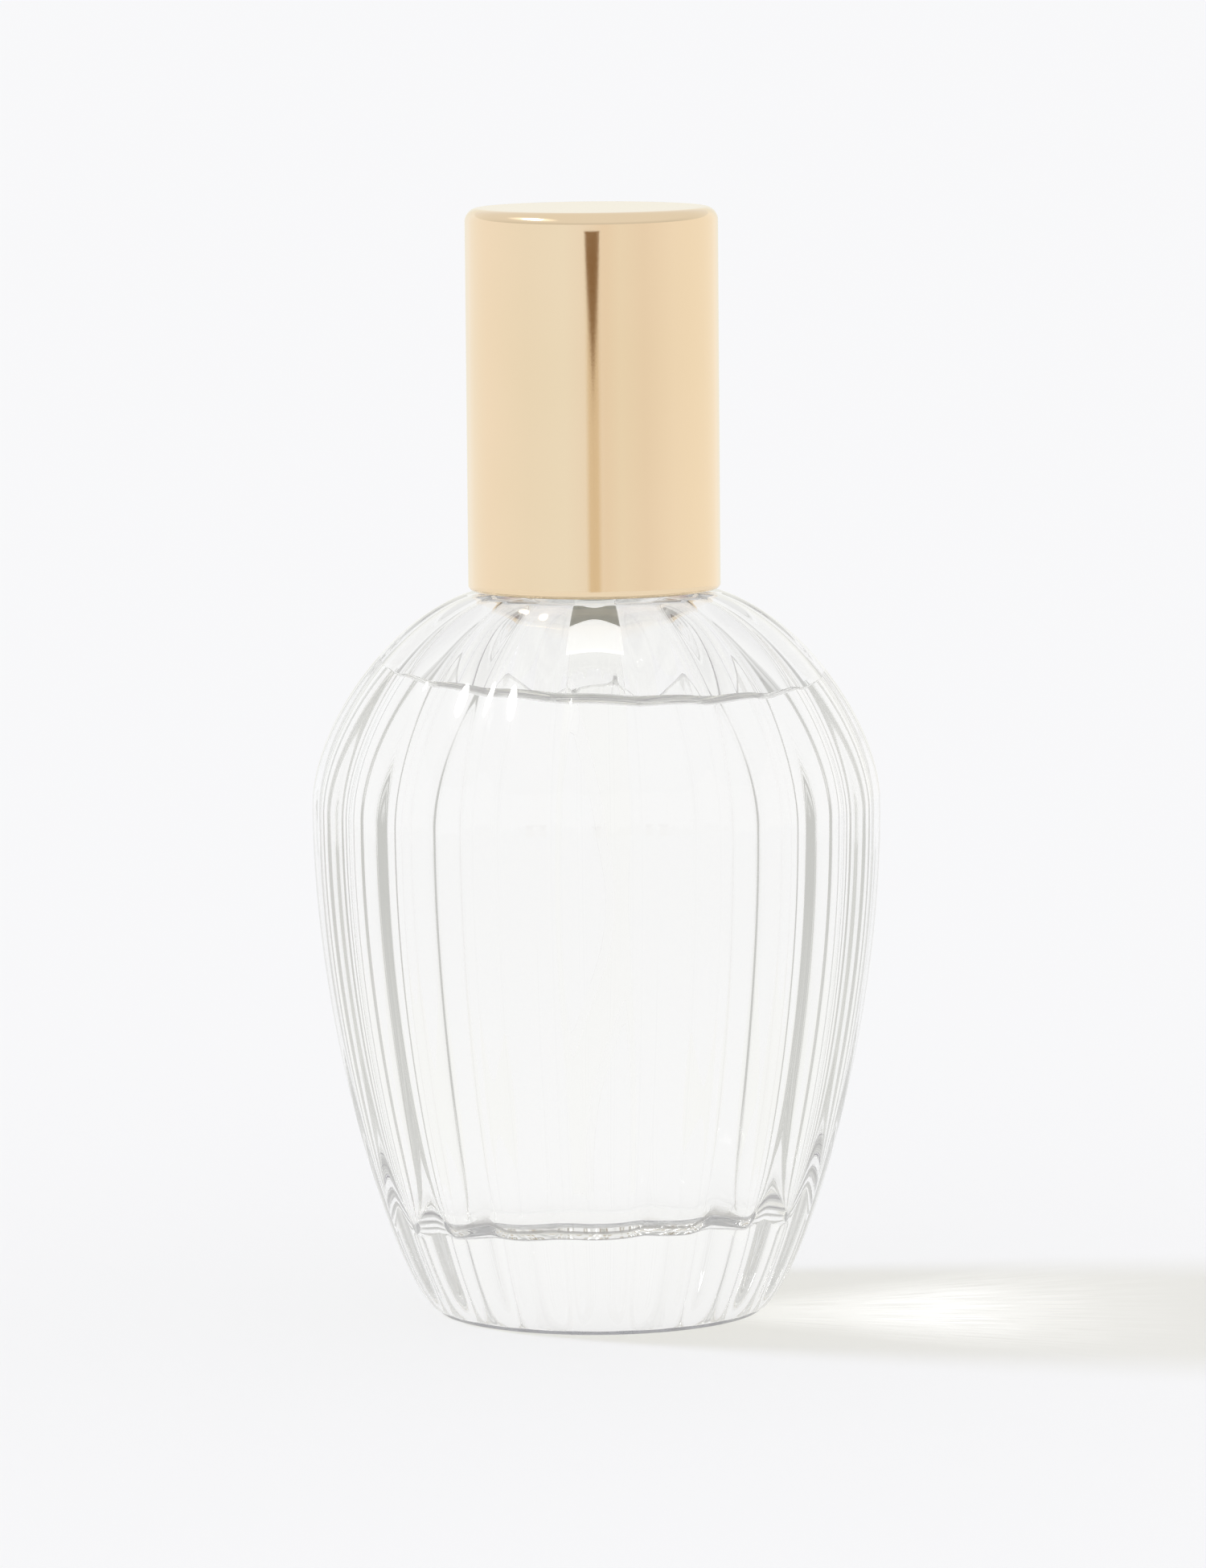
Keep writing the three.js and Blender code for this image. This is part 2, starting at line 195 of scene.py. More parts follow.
def ring_outline(inner_r, outer_r, bottom_z, top_z, edge):
    """The closed outline of a plain ring with softened edges."""
    corners = [(inner_r, bottom_z), (outer_r, bottom_z), (outer_r, top_z), (inner_r, top_z)]
    return softened(corners, edge, closed=True)


def smoothstep(value, low, high):
    """Runs softly from 0 at low to 1 at high."""
    t = min(1.0, max(0.0, (value - low) / (high - low)))
    return t * t * (3 - 2 * t)


def cut(piece, cutter):
    """Takes the cutter's shape out of the piece and removes the cutter."""
    modifier = piece.modifiers.new("cut", "BOOLEAN")
    modifier.operation = "DIFFERENCE"
    modifier.solver = "EXACT"
    modifier.object = cutter
    shaped = piece.evaluated_get(bpy.context.evaluated_depsgraph_get())
    mesh = bpy.data.meshes.new_from_object(shaped)
    piece.modifiers.clear()
    piece.data = mesh
    bpy.data.objects.remove(cutter)


def place(piece, body, materials, node):
    """Gives a piece its materials and puts it on its body, in the place of a CAD node."""
    for material in materials:
        piece.data.materials.append(material)
    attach(piece, body)
    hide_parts(node)


# ---------------------------------------------------------------- shader groups

def node_group(name, inputs, outputs):
    """An empty group with numbered inputs and outputs, and its two end nodes."""
    tree = bpy.data.node_groups.new(name, "ShaderNodeTree")
    for socket, value in inputs.items():
        made = tree.interface.new_socket(socket, in_out="INPUT", socket_type="NodeSocketFloat")
        made.default_value = value
    for socket, kind in outputs.items():
        tree.interface.new_socket(socket, in_out="OUTPUT", socket_type=kind)
    return tree, tree.nodes.new("NodeGroupInput"), tree.nodes.new("NodeGroupOutput")


def math_node(tree, operation, first, second=0.0):
    node = tree.nodes.new("ShaderNodeMath")
    node.operation = operation
    for socket, value in zip(node.inputs, (first, second)):
        if isinstance(value, (int, float)):
            socket.default_value = value
        else:
            tree.links.new(value, socket)
    return node.outputs[0]


def noise_node(tree, position, scale, detail):
    node = tree.nodes.new("ShaderNodeTexNoise")
    node.inputs["Detail"].default_value = detail
    tree.links.new(position, node.inputs["Vector"])
    if isinstance(scale, (int, float)):
        node.inputs["Scale"].default_value = scale
    else:
        tree.links.new(scale, node.inputs["Scale"])
    return node.outputs["Fac"]


def scaled_place(tree, position, factors):
    """A position stretched or squeezed along its axes."""
    node = tree.nodes.new("ShaderNodeVectorMath")
    node.operation = "MULTIPLY"
    node.inputs[1].default_value = factors
    tree.links.new(position, node.inputs[0])
    return node.outputs[0]


def place_on(tree, coordinates="Object"):
    """A surface point's place in the piece's own coordinates."""
    return tree.nodes.new("ShaderNodeTexCoord").outputs[coordinates]


def place_parts(tree, coordinates="Object"):
    """The X, Y and Z of a surface point's place."""
    parts = tree.nodes.new("ShaderNodeSeparateXYZ")
    tree.links.new(place_on(tree, coordinates), parts.inputs[0])
    return parts.outputs


def mixed_shader(tree, share, first, second):
    """Shades with the first shader, and with the second where the share is 1."""
    mix = tree.nodes.new("ShaderNodeMixShader")
    tree.links.new(share, mix.inputs["Fac"])
    tree.links.new(first.outputs[0], mix.inputs[1])
    tree.links.new(second.outputs[0], mix.inputs[2])
    return mix


def greys(*stops):
    """Plain grey colour stops from (position, value) pairs."""
    return [(position, (value, value, value)) for position, value in stops]


def ramp_node(tree, value, stops):
    """A colour ramp from (position, colour) pairs."""
    ramp = tree.nodes.new("ShaderNodeValToRGB")
    tree.links.new(value, ramp.inputs["Fac"])
    elements = ramp.color_ramp.elements
    elements[0].position, elements[1].position = stops[0][0], stops[-1][0]
    elements[0].color, elements[1].color = (*stops[0][1], 1), (*stops[-1][1], 1)
    for position, colour in stops[1:-1]:
        elements.new(position).color = (*colour, 1)
    return ramp.outputs["Color"]


HAZE_SCALE = 140.0
TONE_SCALE = 60.0
RIPPLE_SCALE = 110.0


def surface_grain():
    """Fine grain: uneven roughness and a height for bump, with a slower handling haze on top."""
    inputs = {"Scale": 4000.0, "Roughness": 0.3, "Spread": 0.05, "Haze": 0.03, "Depth": 1.0}
    outputs = {"Roughness": "NodeSocketFloat", "Height": "NodeSocketFloat"}
    tree, given, result = node_group("surface_grain", inputs, outputs)
    fine = noise_node(tree, place_on(tree), given.outputs["Scale"], 3.0)
    slow = noise_node(tree, place_on(tree), HAZE_SCALE, 2.0)
    centred = math_node(tree, "SUBTRACT", fine, 0.5)
    spread = math_node(tree, "MULTIPLY", centred, given.outputs["Spread"])
    haze = math_node(tree, "MULTIPLY", math_node(tree, "SUBTRACT", slow, 0.5), given.outputs["Haze"])
    rough = math_node(tree, "ADD", math_node(tree, "ADD", given.outputs["Roughness"], spread), haze)
    tree.links.new(rough, result.inputs["Roughness"])
    tree.links.new(math_node(tree, "MULTIPLY", fine, given.outputs["Depth"]), result.inputs["Height"])
    return tree


def glass_ripple():
    """The faint pull of pressed glass: long soft ripples along the bottle, as a height for bump."""
    inputs = {"Scale": RIPPLE_SCALE, "Depth": 1.0}
    tree, given, result = node_group("glass_ripple", inputs, {"Height": "NodeSocketFloat"})
    stretched = scaled_place(tree, place_on(tree), (1.0, 1.0, 0.35))
    ripple = noise_node(tree, stretched, given.outputs["Scale"], 1.5)
    tree.links.new(math_node(tree, "MULTIPLY", ripple, given.outputs["Depth"]), result.inputs["Height"])
    return tree


GRAIN = surface_grain()
RIPPLE = glass_ripple()


# ---------------------------------------------------------------- materials

def new_material(name):
    """A new material, its node tree and its Principled shader."""
    material = bpy.data.materials.new(name)
    material.use_nodes = True
    tree = material.node_tree
    return material, tree, tree.nodes["Principled BSDF"]


def place_group(tree, group, values):
    node = tree.nodes.new("ShaderNodeGroup")
    node.node_tree = group
    for socket, value in values.items():
        node.inputs[socket].default_value = value
    return node


def bump(tree, height, shader, distance):
    node = tree.nodes.new("ShaderNodeBump")
    node.inputs["Strength"].default_value = 1.0
    node.inputs["Distance"].default_value = distance
    tree.links.new(height, node.inputs["Height"])
    tree.links.new(node.outputs["Normal"], shader.inputs["Normal"])


def solid_material(name, low, high, metallic, grain, relief):
    """An opaque material that drifts slowly between two near tones, with a grain and its relief."""
    material, tree, shader = new_material(name)
    shader.inputs["Metallic"].default_value = metallic
    drift = noise_node(tree, place_on(tree), TONE_SCALE, 2.0)
    tree.links.new(ramp_node(tree, drift, [(0.35, low), (0.65, high)]), shader.inputs["Base Color"])
    group = place_group(tree, GRAIN, grain)
    tree.links.new(group.outputs["Roughness"], shader.inputs["Roughness"])
    bump(tree, group.outputs["Height"], shader, relief)
    return material


def passed_light(tree, rays, shade, edge_shade):
    """Lamp and floor light that goes straight through a clear wall, dimmed more at its edges."""
    facing = tree.nodes.new("ShaderNodeLayerWeight")
    facing.inputs["Blend"].default_value = 0.35
    light = tree.nodes.new("ShaderNodeMix")
    light.data_type = "RGBA"
    light.inputs["B"].default_value = ROOM_LIGHT_TINT
    tree.links.new(rays.outputs["Is Diffuse Ray"], light.inputs["Factor"])
    shades = [(0.12, shade), (0.75, edge_shade)]
    tree.links.new(ramp_node(tree, facing.outputs["Facing"], shades), light.inputs["A"])
    passed = tree.nodes.new("ShaderNodeBsdfTransparent")
    tree.links.new(light.outputs["Result"], passed.inputs["Color"])
    return passed


def clear_material(name, ior, shade, edge_shade, ripple_depth=0.0, roughness=0.0, clarity=1.0, colour=None):
    """Clear glass, liquid or plastic. Lamp and floor light pass straight through it. After a few reflections inside
    it, it shows painted shade instead: greys set by height that stand for light which keeps bouncing."""
    material, tree, shader = new_material(name)
    shader.inputs["Transmission Weight"].default_value = clarity
    shader.inputs["IOR"].default_value = ior
    shader.inputs["Roughness"].default_value = roughness
    shader.inputs["Base Color"].default_value = colour or GLASS_TINT
    if ripple_depth:
        group = place_group(tree, RIPPLE, {"Scale": RIPPLE_SCALE, "Depth": 1.0})
        bump(tree, group.outputs["Height"], shader, ripple_depth)
    rays = tree.nodes.new("ShaderNodeLightPath")
    passing = math_node(tree, "MAXIMUM", rays.outputs["Is Shadow Ray"], rays.outputs["Is Diffuse Ray"])
    seen = mixed_shader(tree, passing, shader, passed_light(tree, rays, shade, edge_shade))
    # painted shade: past a few inner reflections the surface glows with set greys by height instead of tracing on
    painted_shade = tree.nodes.new("ShaderNodeEmission")
    share = math_node(tree, "DIVIDE", place_parts(tree)["Z"], MOUTH_Z)
    tree.links.new(ramp_node(tree, share, PAINTED_TRAPPED_SHADE), painted_shade.inputs["Color"])
    trapped = math_node(tree, "GREATER_THAN", rays.outputs["Glossy Depth"], TRAPPED_AFTER)
    last = mixed_shader(tree, trapped, seen, painted_shade)
    tree.links.new(last.outputs[0], tree.nodes["Material Output"].inputs["Surface"])
    return material


def paint_shade_at_front(material, tones):
    """Paints shade on a clear material at the front of the bottle: grey there, fading to clear towards the back."""
    tree = material.node_tree
    clear = tree.nodes["Principled BSDF"]
    use = clear.outputs[0].links[0].to_socket
    back = math_node(tree, "ADD", math_node(tree, "DIVIDE", place_parts(tree)["Y"], 2 * BODY_R), 0.5)
    clear_share = ramp_node(tree, back, tones)
    grey = tree.nodes.new("ShaderNodeBsdfPrincipled")
    for kind in ("IOR", "Roughness"):
        grey.inputs[kind].default_value = clear.inputs[kind].default_value
    for shader in (grey, clear):
        tree.links.new(clear_share, shader.inputs["Base Color"])
    tree.links.new(mixed_shader(tree, clear_share, grey, clear).outputs[0], use)


GLASS_IOR = 1.51
PERFUME_IOR = 1.36
TUBE_IOR = 1.35
MILKY_IOR = 1.46
FROSTED_IOR = 1.12
GLASS_TINT = (1.0, 1.0, 0.994, 1.0)
# the foot's bearing ring is stippled, rougher glass, and its dark grey is painted shade where it meets the floor
FOOT_SHADE_GREY = (0.30, 0.30, 0.34, 1.0)
# painted shade: the pump's plastic above the socket is set grey for the shade inside the neck's bore
PUMP_SHADE_GREY = (0.50, 0.50, 0.45, 1.0)
FROSTED_WHITE = (0.97, 0.97, 0.95, 1.0)
PAINTED_SOCKET_LIGHT = (1.0, 1.0, 0.99, 1.0)  # painted light: the frosted socket glows as if light were led down the plastic to it
PAINTED_SOCKET_STRENGTH = 0.4
TRAPPED_AFTER = 3.5  # reflections inside the glass
PAINTED_TRAPPED_SHADE = [(0.12, (0.30, 0.285, 0.31)), (0.20, (0.56, 0.56, 0.545)), (0.66, (0.56, 0.56, 0.545)),
                 (0.74, (0.80, 0.80, 0.79))]  # painted shade by height, shown after many inner reflections: darker round the thick base, paler at the shoulder
# painted shade on the liquid's rim: grey at the front, fading to clear at the back
PAINTED_RIM_SHADE = [(0.06, (0.62, 0.62, 0.605)), (0.3, (0.75, 0.75, 0.74)), (0.55, (1.0, 1.0, 1.0))]
# painted shade on the seam at the hollow's floor: grey at the front, fading to clear at the back
PAINTED_SEAM_SHADE = [(0.33, (0.36, 0.35, 0.36)), (0.44, (0.55, 0.54, 0.55)), (0.56, (0.97, 0.97, 0.97))]
ROOM_LIGHT_TINT = (0.985, 0.985, 0.98, 1.0)
SHADE = (0.70, 0.67, 0.47)  # the lamp's light left behind the glass, which is bent away elsewhere
BRIGHT = (1.0, 1.0, 0.995)
DIM = (0.62, 0.59, 0.40)
OPEN = (1.0, 1.0, 1.0)

glass = clear_material("clear_glass", GLASS_IOR, SHADE, DIM, ripple_depth=0.02 * MM)
wet_glass = clear_material("glass_against_perfume", GLASS_IOR / PERFUME_IOR, OPEN, BRIGHT)
hollow_seam = clear_material("hollow_seam", GLASS_IOR / PERFUME_IOR, OPEN, BRIGHT, roughness=0.03)
# the bearing ring: stippled roughness, with painted shade in its grey
stippled_shaded_foot = clear_material("stippled_shaded_foot", GLASS_IOR, SHADE, DIM, roughness=0.1, clarity=0.5, colour=FOOT_SHADE_GREY)
perfume_top = clear_material("perfume_surface", PERFUME_IOR, BRIGHT, BRIGHT)
perfume_rim = clear_material("perfume_rim", PERFUME_IOR, BRIGHT, BRIGHT)
perfume_side = clear_material("perfume_against_glass", 1.0, OPEN, OPEN)
tube_dry = clear_material("clear_tube", TUBE_IOR, BRIGHT, BRIGHT)
tube_wet = clear_material("clear_tube_in_perfume", PERFUME_IOR / TUBE_IOR, OPEN, OPEN)
# the pump plastic's grey is painted shade for the dark inside the neck
milky_plastic = clear_material("milky_pump_plastic", MILKY_IOR, BRIGHT, DIM, roughness=0.3, clarity=0.0,
                               colour=PUMP_SHADE_GREY)
frosted_socket = clear_material("frosted_socket", FROSTED_IOR, BRIGHT, BRIGHT, roughness=0.35, clarity=0.0,
                                colour=FROSTED_WHITE)
# painted light: the frosted socket is given a glow, though it is no lamp
painted_socket_glow = frosted_socket.node_tree.nodes["Principled BSDF"].inputs
painted_socket_glow["Emission Color"].default_value = PAINTED_SOCKET_LIGHT
painted_socket_glow["Emission Strength"].default_value = PAINTED_SOCKET_STRENGTH
# painted shade: the rim and the seam turn grey at the front of the bottle
paint_shade_at_front(perfume_rim, PAINTED_RIM_SHADE)
paint_shade_at_front(hollow_seam, PAINTED_SEAM_SHADE)

SATIN = {"Scale": 9000.0, "Roughness": 0.07, "Spread": 0.04, "Haze": 0.02, "Depth": 1.0}
DRAWN = {"Scale": 6000.0, "Roughness": 0.26, "Spread": 0.1, "Haze": 0.05, "Depth": 1.0}
MOULDED = {"Scale": 3000.0, "Roughness": 0.38, "Spread": 0.08, "Haze": 0.05, "Depth": 1.0}
BRIGHT_WIRE = {"Scale": 8000.0, "Roughness": 0.2, "Spread": 0.08, "Haze": 0.03, "Depth": 1.0}
MATTE = {"Scale": 5000.0, "Roughness": 0.75, "Spread": 0.1, "Haze": 0.05, "Depth": 1.0}

gold = solid_material("pale_gold_anodised", (0.87, 0.70, 0.47), (0.89, 0.715, 0.49), 1.0, SATIN, 0.0006 * MM)
aluminium = solid_material("drawn_aluminium", (0.80, 0.80, 0.79), (0.84, 0.84, 0.83), 1.0, DRAWN, 0.001 * MM)
steel = solid_material("spring_steel", (0.60, 0.60, 0.61), (0.67, 0.67, 0.68), 1.0, BRIGHT_WIRE, 0.001 * MM)
white_plastic = solid_material("white_plastic", (0.80, 0.79, 0.77), (0.83, 0.82, 0.80), 0.0, MOULDED, 0.003 * MM)
seal_rubber = solid_material("seal_rubber", (0.55, 0.54, 0.51), (0.60, 0.59, 0.56), 0.0, MATTE, 0.004 * MM)


# ---------------------------------------------------------------- fluted glass body

BODY_SIDES = FLUTES * FLUTE_SIDES


def groove_depth(angle, radius, height):
    """How far the fluted wall lies inside its crest circle: a parabola with a softened groove."""
    across = angle * FLUTES / TAU
    across = 2 * abs(across - round(across))
    if across > 1 - GROOVE_SOFTNESS:
        rest = 1 - across
        across = 1 - GROOVE_SOFTNESS / 2 - rest * rest / (2 * GROOVE_SOFTNESS)
    return FLUTE_DEPTH * (radius / BODY_R) * smoothstep(height, -1 * MM, 3 * MM) * across ** 2


def inner_wall(inset=0.0):
    """The hollow's outline from the bore to the axis, drawn in by an inset."""
    wall_r = BODY_R - WALL - inset
    floor_z = INNER_FLOOR_Z + inset
    upper = bezier(46, (BORE_R, BORE_Z - inset), (12.5 * MM, 50.9 * MM - inset), (wall_r, 42.5 * MM),
                   (wall_r, WIDEST_Z))
    lower = bezier(90, (wall_r, WIDEST_Z), (wall_r, 17 * MM), (INNER_FLOOR_R + 5 * MM, floor_z + 0.1 * MM),
                   (INNER_FLOOR_R, floor_z))
    floor = [(INNER_FLOOR_R * (1 - k / 12), floor_z) for k in range(1, 13)]
    return upper + lower[1:] + floor


def wall_wave(x, y, z):
    """Slow unevenness of the pressed inner wall, in metres, none at the bore."""
    calm = 1 - smoothstep(z, 46 * MM, 51 * MM)
    here = Vector((x, y, z * 0.5)) * 110
    return WALL_WAVE * noise.noise(here) * calm


def outline_radius(outline, height):
    """The radius of an outline that only runs downwards, at a height."""
    for (r0, z0), (r1, z1) in zip(outline, outline[1:]):
        if z0 >= height > z1:
            return r0 + (r1 - r0) * (z0 - height) / (z0 - z1)
    return outline[0][0]


def clinging_loss(x, y):
    """How much less the liquid climbs the wall at a point than at the very front."""
    return MENISCUS_DROP * (0.5 + 0.5 * y / math.hypot(x, y))


def sloped(x, y, height):
    """Height of a wall point once the rings near the liquid line follow the liquid's edge."""
    fade = 1 - smoothstep(abs(height - CONTACT_Z), 0, SLOPE_FADE)
    return height - (SURFACE_SLOPE * x + clinging_loss(x, y)) * fade


def wall_ring(radius, height, sides, inset=0.0):
    """A ring of the hollow's wall, following the liquid's slope and the wall's unevenness."""
    if radius < POLE_R:
        return [(0.0, 0.0, height)]
    ring = []
    for x, y, z in circle(radius, height, sides):
        if abs(height - CONTACT_Z) < SLOPE_FADE:
            z = sloped(x, y, height)
            scale = outline_radius(WALL_OUTLINE, z) / outline_radius(WALL_OUTLINE, height)
            x, y = x * scale, y * scale
        wave = wall_wave(x, y, z) - inset
        side = smoothstep(radius, 2 * MM, 9 * MM)
        scale = 1 + wave * side / radius
        near_floor = 1 - smoothstep(z, INNER_FLOOR_Z, INNER_FLOOR_Z + 3 * MM)
        low_down = 1 - smoothstep(z, INNER_FLOOR_Z, INNER_FLOOR_Z + 9 * MM)
        ring.append((x * scale, y * scale, z + wave * near_floor + FLOOR_SLOPE * x * low_down))
    return ring


def split_at(outline, height):
    """The outline with a point added where it comes down through a height."""
    for i in range(1, len(outline)):
        (r0, z0), (r1, z1) = outline[i - 1], outline[i]
        if z0 > height >= z1:
            t = (z0 - height) / (z0 - z1)
            return outline[:i] + [(r0 + (r1 - r0) * t, height)] + outline[i:], i
    raise ValueError("the outline never crosses that height")


CONTACT_Z = FILL_Z + MENISCUS_RISE
WALL_OUTLINE = inner_wall()


def fluted_glass():
    """The pressed glass in one skin: foot, fluted side and shoulder, neck finish, bore and hollow."""
    foot = softened([(0, PUNT_DEPTH), (PUNT_R, PUNT_DEPTH), (FOOT_INNER_R, 0), (FOOT_R - FOOT_EDGE, 0)], 0.5 * MM)
    side = bezier(110, (FOOT_R, FOOT_EDGE), (FOOT_R + 2 * MM, FOOT_EDGE + 0.1 * MM), (BODY_R, WIDEST_Z / 2),
                  (BODY_R, WIDEST_Z))
    shoulder = bezier(70, (BODY_R, WIDEST_Z), (BODY_R, WIDEST_Z + 5.7 * MM), (SEAT_R + 5.9 * MM, SEAT_Z - 1.6 * MM),
                      (SEAT_R, SEAT_Z))
    neck = arc(NECK_R + NECK_FILLET, SEAT_Z + 0.1 * MM + NECK_FILLET, NECK_FILLET, 270, 180, 8)
    finish = softened([(NECK_R, BEAD_Z - NECK_FILLET - 1 * MM), (NECK_R, BEAD_Z - NECK_FILLET), (BEAD_R, BEAD_Z),
                       (BEAD_R, MOUTH_Z), (BORE_R, MOUTH_Z), (BORE_R, BORE_Z + 0.4 * MM)], MOUTH_EDGE)
    inner, contact = split_at(inner_wall(), CONTACT_Z)
    rings = [circle(r, z, BODY_SIDES) for r, z in foot]
    for r, z in side + shoulder[1:]:
        ring = []
        for i in range(BODY_SIDES):
            angle = TAU * i / BODY_SIDES
            radius = r - groove_depth(angle, r, z)
            ring.append((radius * math.sin(angle), -radius * math.cos(angle), z))
        rings.append(ring)
    rings += [circle(r, z, BODY_SIDES) for r, z in neck + finish]
    dry_bands = len(rings) + contact
    slots = [3 if FOOT_INNER_R < r < FOOT_R and z < FOOT_EDGE else 0 for r, z in foot]
    slots += [0] * (dry_bands - len(foot))
    slots += [2 if z < INNER_FLOOR_Z + SEAM_HEIGHT and r > SEAM_INNER_R else 1 for r, z in inner[contact:-1]]
    rings += [wall_ring(r, z, BODY_SIDES) for r, z in inner]
    return mesh_piece("fluted_glass", rings, slots=slots)


def perfume_fill():
    """The liquid, with its surface drawn up at the glass wall."""
    inner, contact = split_at(inner_wall(), CONTACT_Z)
    wall_r = inner[contact][0]
    rim = wall_ring(wall_r, CONTACT_Z, BODY_SIDES, FILL_CLEARANCE)
    rings = [[(0.0, 0.0, FILL_Z)]]
    for k in range(1, SURFACE_RINGS):
        share = math.sin(math.pi / 2 * k / SURFACE_RINGS)
        climb = math.exp(-wall_r * (1 - share) / MENISCUS_REACH)
        heights = [FILL_Z + climb * (MENISCUS_RISE - clinging_loss(x, y)) for x, y, z in rim]
        rings.append([(x * share, y * share, h - SURFACE_SLOPE * x * share) for (x, y, z), h in zip(rim, heights)])
    top_bands = len(rings)
    rings += [wall_ring(r, z, BODY_SIDES, FILL_CLEARANCE) for r, z in inner[contact:]]
    rings.reverse()
    side_bands = len(rings) - 1 - top_bands
    slots = [1] * side_bands + [2] * MENISCUS_RINGS + [0] * (top_bands - MENISCUS_RINGS)
    return mesh_piece("perfume_fill", rings, slots=slots)


place(fluted_glass(), "bottle", [glass, wet_glass, hollow_seam, stippled_shaded_foot], "bottle_glass")
place(perfume_fill(), "bottle", [perfume_top, perfume_side, perfume_rim], "perfume")


# ---------------------------------------------------------------- cap

def cap_case():
    """The cap's tall gold shell, with a rounded crown and a rolled lip."""
    low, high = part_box("cap_shell")
    radius, wall, crown, edge, lip = high.x, 0.4 * MM, 1.1 * MM, 1.0 * MM, 0.3 * MM
    crown_z = high.z - crown
    outline = [(radius - wall, low.z + 0.35 * MM)]
    outline += arc(radius - lip, low.z + lip, lip, -110, 0, 8)
    outline += [(radius, low.z + lip + 0.4 * MM), (radius, (low.z + high.z) / 2), (radius, high.z - edge - 0.4 * MM)]
    outline += arc(radius - edge, high.z - edge, edge, 0, 90, 12)
    outline += [(radius - edge - 0.4 * MM, high.z), (0, high.z), (0, crown_z)]
    outline += [(radius - wall - 0.6 * MM, crown_z), (radius - wall, crown_z - 0.4 * MM)]
    outline += [(radius - wall, crown_z - 1.0 * MM)]
    return turned("cap_case", outline, closed=True, sides=256)


def cap_insert():
    """Plastic liner with gripping ribs inside its mouth."""
    low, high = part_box("cap_liner")
    outer, wall = high.x, 0.45 * MM
    inner = outer - wall
    outline = softened([(0, high.z - wall), (inner, high.z - wall), (inner, low.z), (outer, low.z), (outer, high.z),
                        (0, high.z)], 0.2 * MM)

    def ribs(angle, radius, height):
        if abs(radius - inner) > 0.05 * MM:
            return radius, height
        rib = max(0.0, math.cos(angle * 24)) ** 6
        return radius - 0.15 * MM * rib * smoothstep(high.z - height, 2 * MM, 4 * MM), height

    return turned("cap_insert", outline, sides=384, shape=ribs)


place(cap_case(), "cap", [gold], "cap_shell")
place(cap_insert(), "cap", [white_plastic], "cap_liner")


# ---------------------------------------------------------------- collar and ferrule

def collar():
    """Drawn metal collar with an in-turned lip that the button sinks into."""
    low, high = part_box("ferrule_collar")
    outer, lip_r = high.x, 6.6 * MM
    corners = [(outer - SHEET, low.z), (outer, low.z), (outer, high.z), (lip_r, high.z), (lip_r, high.z - SHEET),
               (outer - SHEET, high.z - SHEET)]
    return turned("collar", softened(corners, 0.4 * MM, closed=True, steps=6), closed=True, sides=192)


def ferrule():
    """Aluminium ferrule, its skirt pressed under the neck's bead by twelve crimping jaws."""
    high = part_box("crimp_ferrule")[1]
    outer, lip_r, hole_r = high.x, 6.05 * MM, 3.9 * MM
    hook_z = BEAD_Z - NECK_FILLET
    corners = [(hole_r, high.z - SHEET), (outer - SHEET, high.z - SHEET), (outer - SHEET, hook_z + 0.55 * MM),
               (lip_r, hook_z), (lip_r, hook_z - SHEET), (outer, hook_z), (outer, high.z), (hole_r, high.z)]

    def jaws(angle, radius, height):
        pressed = smoothstep(hook_z + 1.2 * MM - height, 0, 0.8 * MM) * abs(math.cos(6 * angle)) ** 0.5
        return radius - 0.12 * MM * pressed, height

    outline = softened(corners, 0.3 * MM, closed=True, steps=5)
    return turned("crimped_ferrule", outline, closed=True, sides=288, shape=jaws)


place(collar(), "bottle", [gold], "ferrule_collar")
place(ferrule(), "bottle", [aluminium], "crimp_ferrule")


# ---------------------------------------------------------------- spray button

NOZZLE_LOW, NOZZLE_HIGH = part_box("nozzle_insert")
NOZZLE_Z = (NOZZLE_LOW.z + NOZZLE_HIGH.z) / 2
NOZZLE_R = (NOZZLE_HIGH.z - NOZZLE_LOW.z) / 2


def facing_front(piece, z):
    """Turns a piece made along Z so that its +Z end points out of the front, at a height."""
    piece.data.transform(Matrix.Translation((0, 0, z)) @ Matrix.Rotation(math.radians(90), 4, "X"))
    return piece


def front_drill(radius, inner_end, outer_end):
    """A round cutter lying on the nozzle's axis."""
    outline = [(0, inner_end), (radius, inner_end), (radius, outer_end), (0, outer_end)]
    return facing_front(turned("drill", outline, sides=96), NOZZLE_Z)


def button_shell():
    """Gold shell of the button, with a shallow finger dish and the nozzle's window."""
    low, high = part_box("actuator_shell")
    outer, edge, dish_depth, dish_steps = high.x, 0.6 * MM, 0.3 * MM, 24
    shares = [k / dish_steps for k in range(dish_steps + 1)]
    dish = [((outer - 1.3 * MM) * (1 - t), high.z - dish_depth * smoothstep(t, 0, 1)) for t in shares]
    under_z = high.z - dish_depth - SHEET
    outline = [(outer - SHEET, low.z + 0.05 * MM), (outer - SHEET / 2, low.z), (outer, low.z + 0.05 * MM)]
    outline += [(outer, low.z + 0.5 * MM), (outer, NOZZLE_Z), (outer, high.z - edge - 0.3 * MM)]
    outline += arc(outer - edge, high.z - edge, edge, 0, 90, 10)
    outline += dish
    outline += [(0, under_z), (outer - SHEET - 0.3 * MM, under_z), (outer - SHEET, under_z - 0.3 * MM)]
    outline += [(outer - SHEET, NOZZLE_Z)]
    shell = turned("button_shell", outline, closed=True, sides=192)
    cut(shell, front_drill(NOZZLE_R + GAP, outer - 2 * MM, outer + 1 * MM))
    return shell


